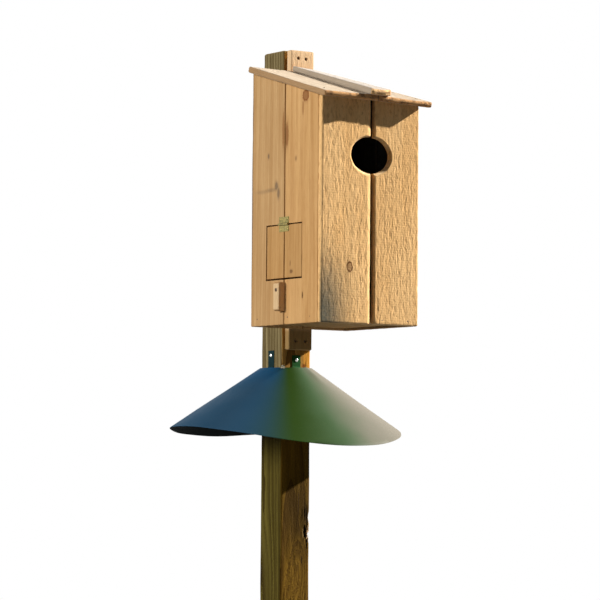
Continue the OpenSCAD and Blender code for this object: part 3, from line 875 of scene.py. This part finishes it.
def wornBatten(p):
    # thinner towards its upper end, worn away at its lower right corner
    near = max(0.0, 1 - (p.y - battenLo.y) / battenCorner["along"])
    side = max(0.0, 1 - (battenHi.x - p.x) / battenCorner["across"])
    back = (p.y - battenLo.y) / (battenHi.y - battenLo.y)
    high = (p.dot(slopeUp) - battenFoot) / (battenCrown - battenFoot)
    across = (p.x - battenLo.x) / (battenHi.x - battenLo.x)
    upper = between(battenWedge["upperLeft"], battenWedge["upperRight"], across)
    planed = between(battenWedge["lower"], upper, back)
    return p + slopeDir * battenCorner["deep"] * near * side - slopeUp * planed * high


slopedBoard("roofBoardLeft", "roof_board_left", "roof", 51)
slopedBoard("roofBoardRight", "roof_board_right", "roof", 52, dent=lambda p: p - zAxis * sagAt(p))
slopedBoard("roofBatten", "roof_batten", "batten", 53, dent=wornBatten)
say("roof")

# mounting strip with its screws, sunk in their holes
stripSpec = {"ease": 0.0025, "across": 0.004, "along": 0.009, "fine": 150, "fibre": 0.0004, "wave": 0.0005,
             "cup": 0.0003, "endRag": 0.0006}
# the strip's lower end is darker, painted shade under the box and partly damp wood; its right-facing faces
# get painted shade
stripLook = {"dampAndShade": (boxBottom - 0.010, boxBottom + 0.012, (0.42, 0.38, 0.25)),
             "paintedFacingShade": [(xAxis, (0.52, 0.50, 0.46))]}
stripHoles = [(-0.0125, boxBottom + 0.680), (0.0105, boxBottom + 0.679),
              (-0.0145, boxBottom - 0.030), (0.0145, boxBottom - 0.030)]
stripBore = {"before": 0.003, "profile": [(0.0048, 0.0), (0.0042, 0.004), (0.0034, 0.009), (0, 0.009)]}
stripScrew = {"r": 0.0032, "dome": 0.0008, "sunk": 0.002}
stripScrewDepth, stripScrewCross = 0.0045, 0.0006
stripLo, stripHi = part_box("mounting_strip")
strip = boxBoard("mountingStrip", stripLo, stripHi, "xyz", stripSpec, 61)
for x, z in stripHoles:
    at = (x, stripLo.y - stripBore["before"], z)
    cutWith(strip, turnedMesh("cutter", [at], yAxis, stripBore["profile"], 24))
place(strip, root, woodFinish("stripWood", "strip", 61, **stripLook), "mounting_strip")
screws = turnedMesh("stripScrews", [(x, stripLo.y + stripScrewDepth, z) for x, z in stripHoles], -yAxis,
                    headProfile(**stripScrew), cross=stripScrewCross)
place(screws, root, rustFinish)
say("strip")

# door, its ledges and the hinge
doorSpec = {"ease": 0.0012, "across": 0.0045, "along": 0.009, "fine": 160, "fibre": 0.00035, "wave": 0.0004,
            "cup": 0.0003}
doorSpots = {"front": [sideSpot(0.125, 0.128, (0.006, 0.006, 0.005), pitchInk, 0.8, 0, 0.3),
                       sideSpot(0.130, 0.148, (0.006, 0.002, 0.007), pitchInk, 0.6, 0, 0.2), seamStain],
             "rear": [seamStain]}
for side, seed in (("rear", 21), ("front", 22)):
    node = "door_" + side + "_half"
    lo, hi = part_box(node)
    grow = doorKerf["grow"]
    lo.z -= grow
    hi.z += grow * 0.5
    if side == "rear":
        hi.y += grow
    else:
        lo.y -= grow
    obj = boxBoard("door" + side.title() + "Half", lo, hi, "yxz", doorSpec, seed)
    finish = woodFinish("door" + side.title() + "Wood", "door", seed, spots=doorSpots[side])
    place(obj, doorBody, finish, node)
for side, seed in (("upper", 73), ("lower", 74)):
    node = "door_ledge_" + side
    obj = boxBoard("doorLedge" + side.title(), *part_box(node), "zxy", floorSpec, seed)
    place(obj, doorBody, woodFinish("ledgeWood" + side.title(), "inside", seed, along=yAxis), node)

hingeScrew = {"r": 0.0031, "dome": 0.0009, "sunk": 0.0008}
hingeSpec = {"leaf": 0.0015, "across": 0.0135, "up": 0.0125, "cross": 0.0006}
for node in ("hinge_upper_leaf", "hinge_lower_leaf", "hinge_pin"):
    coat(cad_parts[node].data, brassFinish)
pinLo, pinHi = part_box("hinge_pin")
pinZ = (pinLo.z + pinHi.z) / 2
for name, body, sign in (("hingeScrewsUpper", root, 1), ("hingeScrewsLower", doorBody, -1)):
    places = [(leftX - hingeSpec["leaf"], seamY + dy, pinZ + sign * hingeSpec["up"])
              for dy in (-hingeSpec["across"], hingeSpec["across"])]
    screws = turnedMesh(name, places, -xAxis, headProfile(**hingeScrew), 24, hingeSpec["cross"])
    place(screws, body, brassFinish)
say("door and hinge")

# turn button
buttonShape = {"round": 0.007, "ease": 0.002, "arc": 8, "across": 8, "run": 0.003, "nap": 0.0003}
buttonHole = {"before": 0.004,
              "profile": [(0.0052, 0.0), (0.0052, 0.0042), (0.00205, 0.0062), (0.00205, 0.03), (0, 0.03)]}
buttonScrew = {"sunk": 0.0008, "shank": 0.0019, "inWall": 0.012, "neck": 0.003, "cross": 0.0007,
               "head": [(0.0044, -0.0004), (0.0044, 0.0006), (0.0034, 0.0012), (0.0024, 0.0014),
                        (0.0012, 0.0014), (0, 0.0014)]}
buttonLo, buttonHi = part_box("turn_button")


def buttonMesh():
    # side view of the bar swept across its width, with eased arrises
    t, length, r = buttonHi.x - buttonLo.x, buttonHi.z - buttonLo.z, buttonShape["round"]
    side = [(0, 0), (0, length)]
    for start, cz in ((90, length - r), (0, r)):
        for k in range(buttonShape["arc"] + 1):
            a = math.radians(start - 90 * k / buttonShape["arc"])
            side.append((t - r + r * math.cos(a), cz + r * math.sin(a)))
    # finer points along the straight runs
    full = []
    for (x0, z0), (x1, z1) in zip(side, side[1:] + side[:1]):
        n = max(1, round(math.hypot(x1 - x0, z1 - z0) / buttonShape["run"]))
        full += [(x0 + (x1 - x0) * i / n, z0 + (z1 - z0) * i / n) for i in range(n)]
    w, ease, n = buttonHi.y - buttonLo.y, buttonShape["ease"], buttonShape["across"]
    rounding = [(0, 1), (0.3 * ease, 0.35), (ease, 0)]
    steps = rounding + [(ease + (w - 2 * ease) * i / n, 0) for i in range(1, n)]
    steps += [(w - y, inset) for y, inset in reversed(rounding)]
    bm = bmesh.new()
    rows = []
    for y, inset in steps:
        row = []
        for x, z in full:
            inward = Vector((t / 2 - x, 0, length / 2 - z)).normalized() * ease * inset
            nap = buttonShape["nap"] * wobble(x * 260, y * 260, z * 40)
            row.append(bm.verts.new((buttonHi.x - (x + inward.x) - nap, buttonLo.y + y,
                                     buttonLo.z + z + inward.z)))
        rows.append(row)
    skin(bm, rows)
    return meshObject("turnButtonBlock", bm, 40)


button = buttonMesh()
at = (buttonLo.x - buttonHole["before"], screwMid.y, screwMid.z)
cutWith(button, turnedMesh("cutter", [at], xAxis, buttonHole["profile"], 28))
place(button, buttonBody, woodFinish("buttonWood", "button", 81), "turn_button")
at = (buttonLo.x + buttonScrew["sunk"], screwMid.y, screwMid.z)
tipDepth = leftX + buttonScrew["inWall"] - buttonLo.x
shank = [(buttonScrew["shank"], -tipDepth), (buttonScrew["shank"], -buttonScrew["neck"])]
screw = turnedMesh("turnButtonScrew", [at], -xAxis, shank + buttonScrew["head"], 24, buttonScrew["cross"])
place(screw, root, rustFinish, "turn_button_screw")
say("turn button")

# guard cone and its tabs; directions in degrees
guardSpec = {"topR": postHi.x * math.sqrt(2) + 0.0025, "rimR": 0.290, "topZ": boxBottom - 0.097,
             "rimZ": boxBottom - 0.259, "t": 0.0012, "tilt": 0.015, "tiltDir": 72.5, "warp": 0.0185,
             "warpDir": 2.0, "seam": 60.0, "sides": 192, "lap": 6, "rows": 26, "lapGap": 0.0001,
             "dents": 0.0022}
# ridge that the front tab pulls up; mid and long are shares of the slope
guardRidge = {"up": 0.0035, "dir": 284, "turn": 34, "wide": 7, "mid": 0.1, "long": 0.10}


def guardPoint(step, k, drop):
    # step: round the cone; k: from the upper edge to the rim
    g, ridge = guardSpec, guardRidge
    a = g["seam"] + 360 * step / g["sides"]
    rad = math.radians(a)
    rim = g["rimZ"] + g["tilt"] * math.cos(math.radians(a - g["tiltDir"]))
    rim += g["warp"] * math.cos(2 * math.radians(a - g["warpDir"]))
    r = between(g["topR"], g["rimR"], k)
    z = between(g["topZ"], rim, k) + (g["t"] + g["lapGap"]) * step / g["sides"]
    p = Vector((r * math.cos(rad), r * math.sin(rad), z - drop))
    # shallow dents of thin sheet, none at the seam or the upper edge
    calm = min(1, k * 3) * min(1, step / 10, (g["sides"] + g["lap"] - step) / 16)
    p.z += calm * g["dents"] * wobble(p.x * 8, p.y * 8, 3)
    beside = (a % 360 - ridge["dir"] - ridge["turn"] * k) / ridge["wide"]
    below = (k - ridge["mid"]) / ridge["long"]
    p.z += ridge["up"] * math.exp(-beside ** 2) * math.exp(-below ** 2)
    return p


def sheetFaces(bm, front, back):
    # two layers of rows of points, closed round their edges
    rows, cols = len(front) - 1, len(front[0]) - 1
    for j in range(rows):
        for i in range(cols):
            for layer in (front, back):
                bm.faces.new((layer[j][i], layer[j + 1][i], layer[j + 1][i + 1], layer[j][i + 1]))
        for i in (0, cols):
            bm.faces.new((front[j][i], back[j][i], back[j + 1][i], front[j + 1][i]))
    for j in (0, rows):
        for i in range(cols):
            bm.faces.new((front[j][i], front[j][i + 1], back[j][i + 1], back[j][i]))


def guardMesh():
    g = guardSpec
    bm = bmesh.new()
    steps = g["sides"] + g["lap"] + 1
    layers = []
    for drop in (0, g["t"]):
        layers.append([[bm.verts.new(guardPoint(i, j / g["rows"], drop)) for i in range(steps)]
                       for j in range(g["rows"] + 1)])
    sheetFaces(bm, *layers)
    return meshObject("guardCone", bm, 50)


place(guardMesh(), root, guardPaint, "predator_guard")

curlSpec = {"at": 229.0, "wide": 0.012, "long": 0.012, "t": 0.0006, "lift": 0.007, "bend": 2.6, "taper": 0.92,
            "out": 0.003, "down": 0.0015, "steps": 8}


def curlMesh():
    # a torn tongue of the sheet that bends up and away from the post
    c = curlSpec
    bm = bmesh.new()
    a = math.radians(c["at"])
    out, side = Vector((math.cos(a), math.sin(a), 0)), Vector((-math.sin(a), math.cos(a), 0))
    foot = out * (guardSpec["topR"] + c["out"]) + Vector((0, 0, guardSpec["topZ"] - c["down"]))
    layers = []
    for drop in (0, c["t"]):
        rows = []
        for i in range(c["steps"] + 1):
            k = i / c["steps"]
            bend = c["bend"] * k
            mid = foot + Vector((0, 0, c["lift"] * math.sin(bend) / 0.9))
            mid += out * c["long"] * (1 - math.cos(bend)) * 0.45
            half = c["wide"] * (1 - c["taper"] * k) / 2
            off = (out * math.cos(bend) - zAxis * math.sin(bend)) * drop
            rows.append([bm.verts.new(mid + side * half * w + off) for w in (-1, -0.4, 0.35, 1)])
        layers.append(rows)
    sheetFaces(bm, *layers)
    return meshObject("guardCurl", bm, 60)


place(curlMesh(), root, scrapFinish)

rivetHead = {"r": 0.0038, "dome": 0.0014, "sunk": 0.0004}
bm = bmesh.new()
for k in (0.12, 0.5, 0.9):
    a = guardSpec["sides"] + guardSpec["lap"] * 0.5
    p, q, s = guardPoint(a, k, 0), guardPoint(a + 1, k, 0), guardPoint(a, k + 0.02, 0)
    lathe(bm, p, (s - p).cross(q - p).normalized(), headProfile(**rivetHead))
place(meshObject("guardRivets", bm), root, zincFinish)

tabScrew = {"r": 0.0044, "dome": 0.0022, "sunk": 0.0006}
tabSpec = {"t": 0.0012, "fromTop": 0.012, "cross": 0.0008}
for name, turn in (("front", 270), ("right", 0), ("back", 90), ("left", 180)):
    node = "guard_tab_" + name
    coat(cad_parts[node].data, tabPaint)
    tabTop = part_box(node)[1].z
    out = Vector((math.cos(math.radians(turn)), math.sin(math.radians(turn)), 0))
    at = out * (postHi.x + tabSpec["t"]) + Vector((0, 0, tabTop - tabSpec["fromTop"]))
    screw = turnedMesh("tabScrew" + name.title(), [at], out, headProfile(**tabScrew), 24, tabSpec["cross"])
    place(screw, root, zincFinish)
say("guard")

# nails
nailSpec = {"r": 0.0019, "dome": 0.0004, "sunk": 0.0012}
roofNail = {"edge": 0.008, "inner": 0.09, "rear": 0.012, "up": 0.0151}


def nails(name, places, normal):
    place(turnedMesh(name, places, normal, headProfile(**nailSpec), 16), root, rustFinish)


nails("nailsLeft", [(leftX, frontY + y, boxBottom + z) for y, z in
                    ((0.270, 0.0175), (0.187, 0.017), (0.140, 0.0175), (0.0465, 0.0155), (0.225, 0.414),
                     (0.106, 0.399))], -xAxis)
nails("nailsRight", [(rightX, frontY + y, boxBottom + z) for y, z in
                     ((0.268, 0.0165), (0.186, 0.0175), (0.137, 0.0160), (0.048, 0.0170))], xAxis)
nails("nailsFront", [(x, frontY, boxBottom + z) for x, z in
                     ((-0.112, 0.0178), (0.0326, 0.0110), (0.110, 0.0115))], -yAxis)
nails("nailsBack", [(x, backY, boxBottom + z) for x in (-0.110, -0.060, 0.052, 0.102)
                    for z in (0.017, 0.60)], yAxis)
roofNails = []
edge, inner = roofNail["edge"], roofNail["inner"]
for x in (leftX + edge, leftX + inner, rightX - inner, rightX - edge):
    for y in (frontY + edge, backY - roofNail["rear"]):
        roofNails.append(Vector((x, y, wallTop(Vector((x, y, 0))))) + slopeUp * roofNail["up"])
nails("nailsRoof", roofNails, slopeUp)
say("nails")


def mixShaders(tree, factor, first, second, end):
    mix = add(tree, "ShaderNodeMixShader")
    for socket, value in zip(mix.inputs, (factor, first.outputs[0], second.outputs[0])):
        tree.links.new(value, socket)
    tree.links.new(mix.outputs[0], tree.nodes[end].inputs["Surface"])


# floor of the studio, fading to white away from the post
stageSpec = {"radius": 5.0, "pale": (0.86, 0.86, 0.855), "dim": (0.14, 0.14, 0.14),
             "fadeFrom": 1.6, "fadeTo": 3.6}
bm = bmesh.new()
bmesh.ops.create_circle(bm, cap_ends=True, segments=128, radius=stageSpec["radius"])
ground = meshObject("studioFloor", bm)
groundMat, tree, bsdf, coords = newFinish("paleFloor")
path = add(tree, "ShaderNodeLightPath").outputs
fill(tree, bsdf, Base_Color=mixColour(tree, path["Is Diffuse Ray"], stageSpec["pale"], stageSpec["dim"]),
     Roughness=0.9, Specular_IOR_Level=0.0)
glow = fill(tree, add(tree, "ShaderNodeEmission"), Color=(1, 1, 1))
away = vectorNode(tree, "LENGTH", coords["Object"])
away = rangeNode(tree, away, stageSpec["fadeFrom"], stageSpec["fadeTo"])
mixShaders(tree, times(tree, away, path["Is Camera Ray"]), bsdf, glow, "Material Output")
coat(ground.data, groundMat)

# light; angles of the lamps in degrees
lightSpec = {"keyFrom": (0.856, -0.247, 0.461), "key": 9.7, "keySoft": 1.2, "keyTint": (1.0, 0.985, 0.96),
             "sideFrom": (-0.94, 0.20, 0.26), "side": 3.15, "sideSoft": 20, "sideTint": (0.99, 1.0, 1.0),
             "ambient": (0.090, 0.097, 0.108)}
for kind in ("key", "side"):
    lamp = bpy.data.lights.new(kind + "Lamp", "SUN")
    lamp.energy = lightSpec[kind]
    lamp.angle = math.radians(lightSpec[kind + "Soft"])
    lamp.color = lightSpec[kind + "Tint"]
    obj = bpy.data.objects.new(kind + "Lamp", lamp)
    scene.collection.objects.link(obj)
    fromDir = Vector(lightSpec[kind + "From"])
    obj.rotation_mode = "QUATERNION"
    obj.rotation_quaternion = fromDir.to_track_quat("Z", "Y")
    obj.location = fromDir * 6

world = bpy.data.worlds.new("studio")
scene.world = world
world.use_nodes = True
tree = world.node_tree
dim = fill(tree, tree.nodes["Background"], Color=lightSpec["ambient"])
white = fill(tree, add(tree, "ShaderNodeBackground"), Color=(1, 1, 1))
path = add(tree, "ShaderNodeLightPath").outputs
mirrored = mathNode(tree, "MAXIMUM", path["Is Glossy Ray"], path["Is Transmission Ray"])
mixShaders(tree, mathNode(tree, "MAXIMUM", path["Is Camera Ray"], mirrored), dim, white, "World Output")

# camera at the photograph's place; angles in degrees
cameraSpec = {"at": (-4.1964, -6.0624, boxBottom - 0.3876), "yaw": 34.954, "pitch": 3.598, "roll": 0.441,
              "lens": 176.33, "sensor": 36, "far": 200}
yaw, pitch, roll = (math.radians(cameraSpec[k]) for k in ("yaw", "pitch", "roll"))
ahead = Vector((math.sin(yaw) * math.cos(pitch), math.cos(yaw) * math.cos(pitch), math.sin(pitch)))
right = Vector((math.cos(yaw), -math.sin(yaw), 0))
up = right.cross(ahead)
rightTurned = right * math.cos(roll) + up * math.sin(roll)
upTurned = up * math.cos(roll) - right * math.sin(roll)
camData = bpy.data.cameras.new("photoCamera")
camData.lens = cameraSpec["lens"]
camData.sensor_width = cameraSpec["sensor"]
camData.clip_end = cameraSpec["far"]
cam = bpy.data.objects.new("photoCamera", camData)
scene.collection.objects.link(cam)
columns = (rightTurned, upTurned, -ahead, cameraSpec["at"])
cam.matrix_world = Matrix([[column[row] for column in columns] for row in range(3)] + [[0, 0, 0, 1]])
scene.camera = cam
scene.view_settings.view_transform = "Standard"
say("light and camera")

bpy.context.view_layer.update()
say("done")
